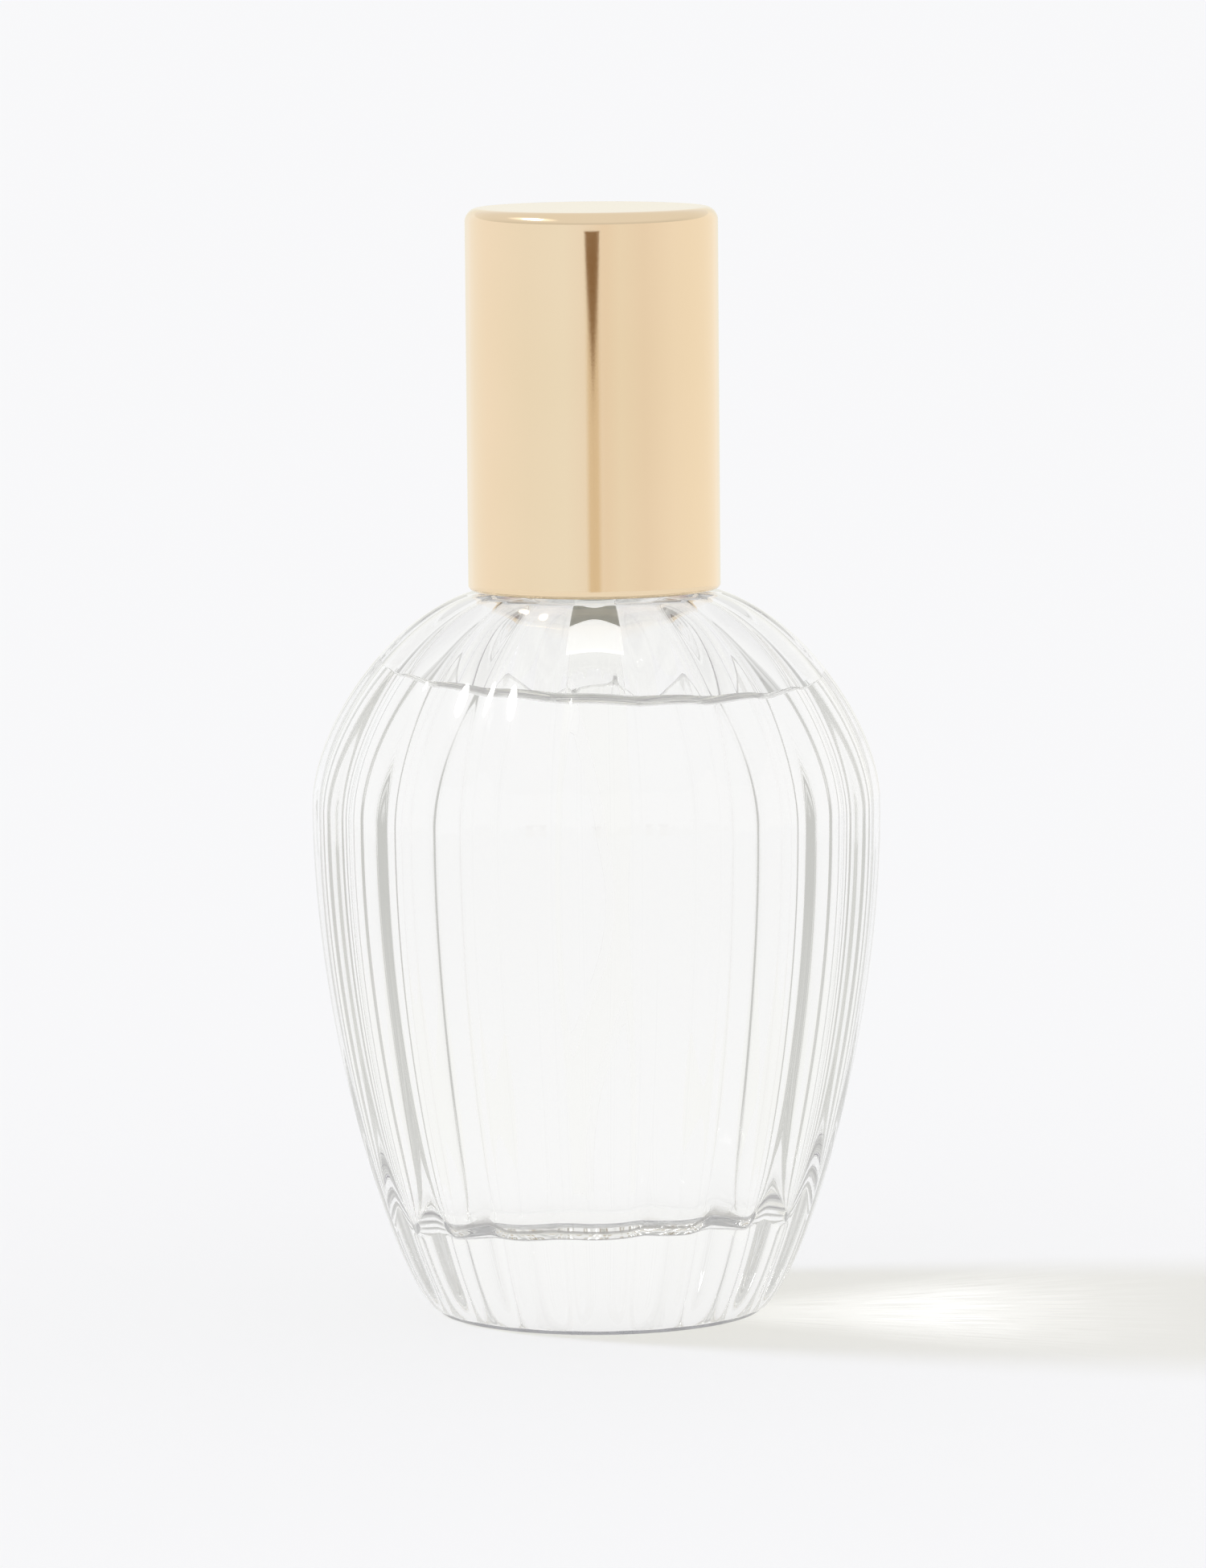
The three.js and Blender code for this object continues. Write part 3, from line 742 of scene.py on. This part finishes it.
def button_core():
    """Moulded core of the button, with its stem socket, underside recess and nozzle pocket."""
    low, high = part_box("actuator_button")
    outer, recess_r, socket_r = high.x, 4.2 * MM, 1.8 * MM
    recess_z, socket_z = low.z + 1.3 * MM, NOZZLE_Z + 0.6 * MM
    corners = [(recess_r, low.z), (outer, low.z), (outer, high.z - 0.35 * MM), (0, high.z - 0.35 * MM), (0, socket_z),
               (socket_r, socket_z), (socket_r, recess_z), (recess_r, recess_z)]
    body = softened([corners[-1], *corners[:4]], 0.25 * MM)[1:]
    socket = softened(corners[4:], 0.15 * MM)
    core = turned("button_core", body + socket, closed=True, sides=160)
    cut(core, front_drill(NOZZLE_R + GAP, -NOZZLE_HIGH.y - GAP, outer + 1 * MM))
    return core


def nozzle():
    """Spray insert: a rimmed face with a countersunk orifice."""
    front, back = -NOZZLE_LOW.y, -NOZZLE_HIGH.y
    face, orifice_r, hidden_end = front - 0.2 * MM, 0.15 * NOZZLE_R, back + 0.4 * MM
    corners = [(0, back), (NOZZLE_R, back), (NOZZLE_R, front), (0.85 * NOZZLE_R, front), (0.78 * NOZZLE_R, face),
               (0.45 * NOZZLE_R, face), (orifice_r, front - 0.5 * MM), (orifice_r, hidden_end), (0, hidden_end)]
    return facing_front(turned("nozzle", softened(corners, 0.08 * MM), sides=96), NOZZLE_Z)


place(button_shell(), "actuator", [gold], "actuator_shell")
place(button_core(), "actuator", [white_plastic], "actuator_button")
place(nozzle(), "actuator", [white_plastic], "nozzle_insert")


# ---------------------------------------------------------------- pump

WIRE_SIDES = 14
TURN_STEPS = 40


def wire_coil(name, node, wire_r, turns):
    """A coil spring with its end turns laid flat, inside the node's box."""
    low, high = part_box(node)
    radius = high.x - wire_r
    bottom, top = low.z + wire_r, high.z - wire_r
    steps = turns * TURN_STEPS
    rings = []
    for k in range(steps + 1):
        share = k / steps
        angle = TAU * turns * share
        lift = smoothstep(share, 0.08, 0.92) * 0.55 + share * 0.45
        centre = Vector((radius * math.cos(angle), radius * math.sin(angle), bottom + (top - bottom) * lift))
        outward = Vector((math.cos(angle), math.sin(angle), 0))
        section = [TAU * i / WIRE_SIDES for i in range(WIRE_SIDES)]
        ring = [tuple(centre + wire_r * (math.cos(a) * outward + math.sin(a) * Vector((0, 0, 1)))) for a in section]
        if k in (0, steps):
            tip = [tuple(centre)]
            rings += [tip, ring] if k == 0 else [ring, tip]
        else:
            rings.append(ring)
    return mesh_piece(name, rings)


def housing():
    """Milky pump chamber: flange, barrel, stepped foot and the tube's frosted socket."""
    low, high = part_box("pump_housing")
    barrel_r, chamber_r, tail_r, socket_r, inlet_r = (r * MM for r in (3.6, 3.0, 1.75, 1.1, 0.6))
    flange_z, foot_z, seat_z = high.z - 0.75 * MM, low.z + 2.6 * MM, low.z + 3.3 * MM
    split_z = low.z + 1.6 * MM  # the socket below this is frosted and glows with painted light; the plastic above it is painted shade-grey
    corners = [(socket_r, low.z), (tail_r, low.z), (tail_r, split_z), (tail_r, foot_z - 0.6 * MM), (barrel_r, foot_z),
               (barrel_r, flange_z), (high.x, flange_z), (high.x, high.z), (chamber_r, high.z), (chamber_r, seat_z),
               (inlet_r + 1 * MM, seat_z), (inlet_r, seat_z - 1 * MM), (inlet_r, split_z), (socket_r, split_z)]
    chamber = turned("pump_chamber", softened(corners, 0.25 * MM, closed=True), closed=True, sides=128)
    for face in chamber.data.polygons:
        face.material_index = 1 if face.center.z < split_z else 0
    return chamber


def stem():
    """Hollow stem, closed at its foot, with the collar that stops it under the turret."""
    low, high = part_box("pump_stem")
    stem_r, bore_r, bore_z = 1.5 * MM, 0.55 * MM, low.z + 1.5 * MM
    collar_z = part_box("load_spring")[1].z + GAP
    collar_top = collar_z + 0.45 * MM
    corners = [(0, low.z), (stem_r, low.z), (stem_r, collar_z), (high.x, collar_z), (high.x, collar_top),
               (stem_r, collar_top), (stem_r, high.z), (bore_r, high.z), (bore_r, bore_z), (0, bore_z)]
    return turned("hollow_stem", softened(corners, 0.12 * MM), sides=96)


def simple_ring(name, node, inner_r, edge):
    """A plain ring that fills the node's box outside an inner radius."""
    low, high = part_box(node)
    return turned(name, ring_outline(inner_r, high.x, low.z, high.z, edge), closed=True, sides=128)


def stem_foot():
    """The stem's foot, tapered towards the stem."""
    low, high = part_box("plunger")
    middle = (low.z + high.z) / 2
    corners = [(0, low.z), (high.x, low.z), (high.x, middle), (1.5 * MM, high.z), (0, high.z)]
    return turned("stem_foot", softened(corners, 0.15 * MM), sides=96)


def valve_ball():
    """The inlet valve's steel ball."""
    low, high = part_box("inlet_ball")
    centre, radius = (low.z + high.z) / 2, (high.z - low.z) / 2
    return turned("valve_ball", arc(0, centre, radius, -90, 90, 32), sides=64)


def dip_tube():
    """Clear tube with a slight natural bow and a notched end."""
    low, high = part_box("dip_tube")
    outer, inner, bow, notch = high.x, 0.5 * MM, 1.1 * MM, 0.5 * MM
    steps = 60
    heights = sorted([low.z + (high.z - low.z) * k / steps for k in range(steps + 1)] + [FILL_Z])
    outline = [(outer, z) for z in heights] + [(inner, z) for z in reversed(heights)]

    def notched(angle, radius, height):
        return radius, height + notch * abs(math.cos(angle)) * (1 - smoothstep(height, low.z, low.z + 3 * MM))

    tube = turned("clear_dip_tube", outline, closed=True, sides=40, shape=notched)
    for vertex in tube.data.vertices:
        share = 1 - smoothstep(vertex.co.z, low.z, high.z - 4 * MM)
        vertex.co.x -= bow * math.sin(math.pi * 1.4 * share)
        vertex.co.y += 0.8 * bow * share * share
    for face in tube.data.polygons:
        face.material_index = 1 if face.center.z < FILL_Z else 0
    return tube


place(housing(), "bottle", [milky_plastic, frosted_socket], "pump_housing")
for ring_name, node, body, slot, material, inner_r, edge in (
        ("gasket", "neck_gasket", "bottle", "seal", seal_rubber, 4.6 * MM, 0.12 * MM),
        ("stem_packing", "stem_seal", "bottle", "seal", seal_rubber, 1.8 * MM, 0.12 * MM),
        ("turret", "pump_turret", "bottle", "white_plastic", white_plastic, 1.8 * MM, 0.25 * MM),
        ("sliding_piston", "piston", "stem", "white_plastic", white_plastic, 1.8 * MM, 0.15 * MM)):
    place(simple_ring(ring_name, node, inner_r, edge), body, [material], node)
place(dip_tube(), "bottle", [tube_dry, tube_wet], "dip_tube")
place(stem(), "stem", [white_plastic], "pump_stem")
place(stem_foot(), "stem", [white_plastic], "plunger")
place(valve_ball(), "valve_ball", [steel], "inlet_ball")
place(wire_coil("small_spring", "load_spring", WIRE_R, 1), "stem", [steel], "load_spring")
main_spring = wire_coil("main_spring", "return_spring", WIRE_R, 4)
place(main_spring, "bottle", [steel], "return_spring")
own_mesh(main_spring)


# ---------------------------------------------------------------- studio

KEY_ELEVATION = math.radians(37)
KEY_BEHIND = math.radians(7.5)
KEY_STRENGTH = 1.1
KEY_WIDTH = 13  # degrees across
SOFTBOX_AT = (-0.56, -0.14, 0.80)
SOFTBOX_SIZE = (0.30, 0.18)
SOFTBOX_POWER = 1.4
SOFTBOX_AIM = (0, 0, 0.05)
GLOW_SIZE = (1.0, 0.42)
GLOW_COLOUR = (1.0, 0.99, 0.97, 1)
GLOW_STRENGTH = 1.7
GLOW_FADE = greys((0.1, 1.0), (0.5, 0.0))
PAPER_SIZE = 12.0
PAPER_Z = -0.03 * MM
PAPER_WHITE = (0.90, 0.90, 0.91, 1)
FAN_COLOUR = (0.95, 0.965, 1.0, 1)
FAN_LENGTH = 0.045
FAN_STRENGTH = 0.25
FAN_ALONG = greys((0.18, 0.0), (0.26, 0.45), (0.34, 0.6), (0.56, 1.0), (0.70, 0.5), (0.84, 0.14), (1.0, 0.0))
FAN_ACROSS = greys((0.0, 1.0), (0.22, 0.85), (0.44, 0.3), (0.62, 0.0))
BACKDROP = (0.939, 0.939, 0.956, 1)
CEILING = (0.858, 0.858, 0.862, 1)
CEILING_SHARE = greys((0.18, 0.0), (0.6, 1.0))
WALL_DEPTH_TONES = [(0.0, (0.55, 0.55, 0.54)), (0.45, (0.62, 0.62, 0.61)), (0.7, (0.80, 0.80, 0.79)),
                    (0.88, (0.94, 0.94, 0.935))]
WALL_R = 0.42
WALL_HEIGHT = 0.22
WALL_TONES = [(0.0, (0.94, 0.935, 0.865)), (0.04, (0.94, 0.935, 0.865)), (0.08, (1.00, 1.02, 1.04)),
              (0.19, (0.98, 0.97, 0.985)), (0.33, (0.93, 0.94, 0.955)), (0.43, (0.935, 0.96, 0.985)),
              (0.467, (0.925, 0.93, 0.955)), (0.533, (0.895, 0.845, 0.81)), (0.57, (0.915, 0.90, 0.875)),
              (0.633, (0.90, 0.86, 0.835)), (0.72, (0.965, 0.94, 0.925)), (0.83, (1.00, 0.975, 0.95)),
              (0.92, (1.035, 1.02, 0.99)), (0.96, (0.94, 0.935, 0.865)), (1.0, (0.94, 0.935, 0.865))]
GAP_SIZE = (0.11, 0.066)
GAP_AT = (0.003, -0.40)
GAP_BROWN = (0.23, 0.130, 0.055)
GAP_TAN = (0.75, 0.635, 0.475)
STREAK_WIDTH = greys((0.640, 0.0), (0.691, 0.15), (0.760, 0.30), (0.909, 0.47))  # by height on the card
TAN_LENGTH = greys((0.0, 0.95), (0.691, 0.8), (0.873, 0.0))
RAGGEDNESS = 0.3
BOUNCES = 48


def gathered_light(tree):
    """Strength of the painted light on the paper, standing for lamp light that the glass gathers: a short streaky fan
    to the right.
    """
    parts = place_parts(tree)
    along = math_node(tree, "DIVIDE", parts["X"], FAN_LENGTH)
    shifted = math_node(tree, "ADD", parts["Y"], 0.06 * FAN_LENGTH)
    sideways = math_node(tree, "DIVIDE", shifted, parts["X"])
    spread = math_node(tree, "ABSOLUTE", sideways)
    streak_place = tree.nodes.new("ShaderNodeCombineXYZ")
    tree.links.new(sideways, streak_place.inputs[0])
    tree.links.new(math_node(tree, "MULTIPLY", along, 0.12), streak_place.inputs[1])
    streaks = noise_node(tree, streak_place.outputs[0], 60.0, 4.0)
    streaks = math_node(tree, "ADD", math_node(tree, "MULTIPLY", streaks, 3.4), -0.7)
    fan = math_node(tree, "MULTIPLY", ramp_node(tree, along, FAN_ALONG), ramp_node(tree, spread, FAN_ACROSS))
    return math_node(tree, "MULTIPLY", math_node(tree, "MULTIPLY", fan, streaks), FAN_STRENGTH)


def floor():
    """White paper, with the gathered light painted on it."""
    bpy.ops.mesh.primitive_plane_add(size=PAPER_SIZE, location=(0, 0, PAPER_Z))
    plane = bpy.context.object
    plane.name = "studio_floor"
    material, tree, shader = new_material("white_paper")
    shader.inputs["Base Color"].default_value = PAPER_WHITE
    shader.inputs["Roughness"].default_value = 0.9
    shader.inputs["Specular IOR Level"].default_value = 0.0
    shader.inputs["Emission Color"].default_value = FAN_COLOUR
    tree.links.new(gathered_light(tree), shader.inputs["Emission Strength"])
    plane.data.materials.append(material)


def hang(name, lamp, way):
    """Puts a lamp in the scene, shining along a direction."""
    holder = bpy.data.objects.new(name, lamp)
    holder.rotation_euler = Vector(way).to_track_quat("-Z", "Y").to_euler()
    bpy.context.scene.collection.objects.link(holder)
    return holder


def key_lamp():
    """The low sun from the left that throws the shadow. It stays out of reflections."""
    lamp = bpy.data.lights.new("key", "SUN")
    lamp.energy = KEY_STRENGTH
    lamp.angle = math.radians(KEY_WIDTH)
    level = math.cos(KEY_ELEVATION)
    way = (level * math.cos(KEY_BEHIND), -level * math.sin(KEY_BEHIND), -math.sin(KEY_ELEVATION))
    holder = hang("key", lamp, way)
    holder.visible_glossy = False
    holder.visible_transmission = False


def softbox():
    """The softbox up on the left, which only shines on glossy and clear pieces."""
    lamp = bpy.data.lights.new("left_softbox", "AREA")
    lamp.shape = "ELLIPSE"
    lamp.size, lamp.size_y = SOFTBOX_SIZE
    lamp.energy = SOFTBOX_POWER
    holder = hang("left_softbox", lamp, Vector(SOFTBOX_AIM) - Vector(SOFTBOX_AT))
    holder.location = SOFTBOX_AT
    holder.visible_camera = False
    holder.visible_diffuse = False


def glowing(name):
    """A studio surface's material: a plain glow. Returns its tree and the glow's node too."""
    material = bpy.data.materials.new(name)
    material.use_nodes = True
    tree = material.node_tree
    tree.nodes.clear()
    glow = tree.nodes.new("ShaderNodeEmission")
    out = tree.nodes.new("ShaderNodeOutputMaterial")
    tree.links.new(glow.outputs[0], out.inputs["Surface"])
    return material, tree, glow


def shown_by(tree, cover, glow):
    """Shows the glow only where its cover is 1, and nothing where it is 0."""
    mix = mixed_shader(tree, cover, tree.nodes.new("ShaderNodeBsdfTransparent"), glow)
    tree.links.new(mix.outputs[0], tree.nodes["Material Output"].inputs["Surface"])


def card(name, size, place_at, turn):
    """A flat studio card of a width and height."""
    bpy.ops.mesh.primitive_plane_add(size=1.0)
    plane = bpy.context.object
    plane.name = name
    plane.scale = (*size, 1)
    plane.location = place_at
    plane.rotation_euler = turn
    return plane


def only_in_reflections(thing, material):
    """Gives a studio surface its material and hides it from everything but reflections."""
    thing.data.materials.append(material)
    for ray in ("visible_camera", "visible_diffuse", "visible_shadow", "visible_transmission"):
        setattr(thing, ray, False)


def round_wall():
    """A low wall of paper round the table, seen only in reflections: paler left, warmer right."""
    wall = mesh_piece("round_wall", [circle(WALL_R, 0.0, 96), circle(WALL_R, WALL_HEIGHT, 96)])
    material, tree, glow = glowing("round_wall")
    parts = place_parts(tree)
    turn = math_node(tree, "ARCTAN2", parts["X"], math_node(tree, "MULTIPLY", parts["Y"], -1.0))
    share = math_node(tree, "ADD", math_node(tree, "DIVIDE", turn, TAU), 0.5)
    tree.links.new(ramp_node(tree, share, WALL_TONES), glow.inputs["Color"])
    only_in_reflections(wall, material)


def gap_card():
    """The dark gap in the wall behind the camera: a ragged brown streak over a soft tan one."""
    plane = card("gap_in_wall", GAP_SIZE, (*GAP_AT, GAP_SIZE[1] / 2), (math.radians(90), 0, 0))
    material, tree, glow = glowing("gap_in_wall")
    parts = place_parts(tree, "Generated")
    across = math_node(tree, "ABSOLUTE", math_node(tree, "SUBTRACT", parts["X"], 0.5))
    squat = scaled_place(tree, place_on(tree, "Generated"), (1.0, 0.55, 1.0))
    rag = math_node(tree, "SUBTRACT", noise_node(tree, squat, 36.0, 4.0), 0.5)
    edge = math_node(tree, "ADD", across, math_node(tree, "MULTIPLY", rag, RAGGEDNESS))
    width_here = ramp_node(tree, parts["Y"], STREAK_WIDTH)
    inside = math_node(tree, "MULTIPLY", math_node(tree, "SUBTRACT", width_here, edge), 14.0)
    brown = math_node(tree, "MINIMUM", math_node(tree, "MAXIMUM", inside, 0.0), 1.0)
    tan = math_node(tree, "MULTIPLY", math_node(tree, "SUBTRACT", 0.46, across), 4.0)
    tan = math_node(tree, "MINIMUM", math_node(tree, "MULTIPLY", math_node(tree, "MAXIMUM", tan, 0.0), 0.9), 0.9)
    tan_cover = math_node(tree, "MULTIPLY", tan, ramp_node(tree, parts["Y"], TAN_LENGTH))
    tree.links.new(ramp_node(tree, brown, [(0.0, GAP_TAN), (1.0, GAP_BROWN)]), glow.inputs["Color"])
    shown_by(tree, math_node(tree, "MAXIMUM", brown, tan_cover), glow)
    only_in_reflections(plane, material)


def softbox_glow():
    """The soft bright patch of ceiling round the softbox, seen only in reflections."""
    turn = (-Vector(SOFTBOX_AT)).to_track_quat("Z", "Y").to_euler()
    plane = card("softbox_glow", GLOW_SIZE, Vector(SOFTBOX_AT) * 1.1, turn)
    material, tree, glow = glowing("softbox_glow")
    reach = tree.nodes.new("ShaderNodeVectorMath")
    reach.operation = "LENGTH"
    tree.links.new(place_on(tree), reach.inputs[0])
    glow.inputs["Color"].default_value = GLOW_COLOUR
    glow.inputs["Strength"].default_value = GLOW_STRENGTH
    shown_by(tree, ramp_node(tree, reach.outputs["Value"], GLOW_FADE), glow)
    only_in_reflections(plane, material)


def studio_world():
    """A white room with a pale ceiling: bright behind the table, greyer at the sides and in front."""
    world = bpy.data.worlds.new("studio")
    bpy.context.scene.world = world
    world.use_nodes = True
    world.cycles.sampling_method = "NONE"
    tree = world.node_tree
    tree.nodes.clear()
    parts = place_parts(tree, "Generated")
    depth = math_node(tree, "ADD", math_node(tree, "MULTIPLY", parts["Y"], 0.5), 0.5)
    room = tree.nodes.new("ShaderNodeMix")
    room.data_type = "RGBA"
    tree.links.new(ramp_node(tree, parts["Z"], CEILING_SHARE), room.inputs["Factor"])
    tree.links.new(ramp_node(tree, depth, WALL_DEPTH_TONES), room.inputs["A"])
    room.inputs["B"].default_value = CEILING
    lit = tree.nodes.new("ShaderNodeBackground")
    tree.links.new(room.outputs["Result"], lit.inputs["Color"])
    plain = tree.nodes.new("ShaderNodeBackground")
    plain.inputs["Color"].default_value = BACKDROP
    seen = tree.nodes.new("ShaderNodeLightPath").outputs["Is Camera Ray"]
    out = tree.nodes.new("ShaderNodeOutputWorld")
    tree.links.new(mixed_shader(tree, seen, lit, plain).outputs[0], out.inputs["Surface"])


def camera():
    """A long lens a little above the bottle, tipped half a degree."""
    elevation = math.radians(6.7)
    distance = 0.6356
    aim = Vector((0.0005, 0, 0.0391))
    lens = bpy.data.cameras.new("camera")
    lens.sensor_width = 36
    lens.lens = 197.5
    lens.clip_end = 20
    holder = bpy.data.objects.new("camera", lens)
    holder.location = aim + Vector((0, -math.cos(elevation), math.sin(elevation))) * distance
    roll = Matrix.Rotation(math.radians(-0.5), 4, "Z")
    facing = (aim - holder.location).to_track_quat("-Z", "Y").to_matrix().to_4x4()
    holder.rotation_euler = (facing @ roll).to_euler()
    bpy.context.scene.collection.objects.link(holder)
    bpy.context.scene.camera = holder


floor()
studio_world()
round_wall()
gap_card()
camera()
key_lamp()
softbox()
softbox_glow()

scene = bpy.context.scene
scene.view_settings.view_transform = "Standard"
for kind in ("max_bounces", "glossy_bounces", "transmission_bounces", "transparent_max_bounces"):
    setattr(scene.cycles, kind, BOUNCES)
scene.cycles.caustics_refractive = False
scene.cycles.caustics_reflective = False
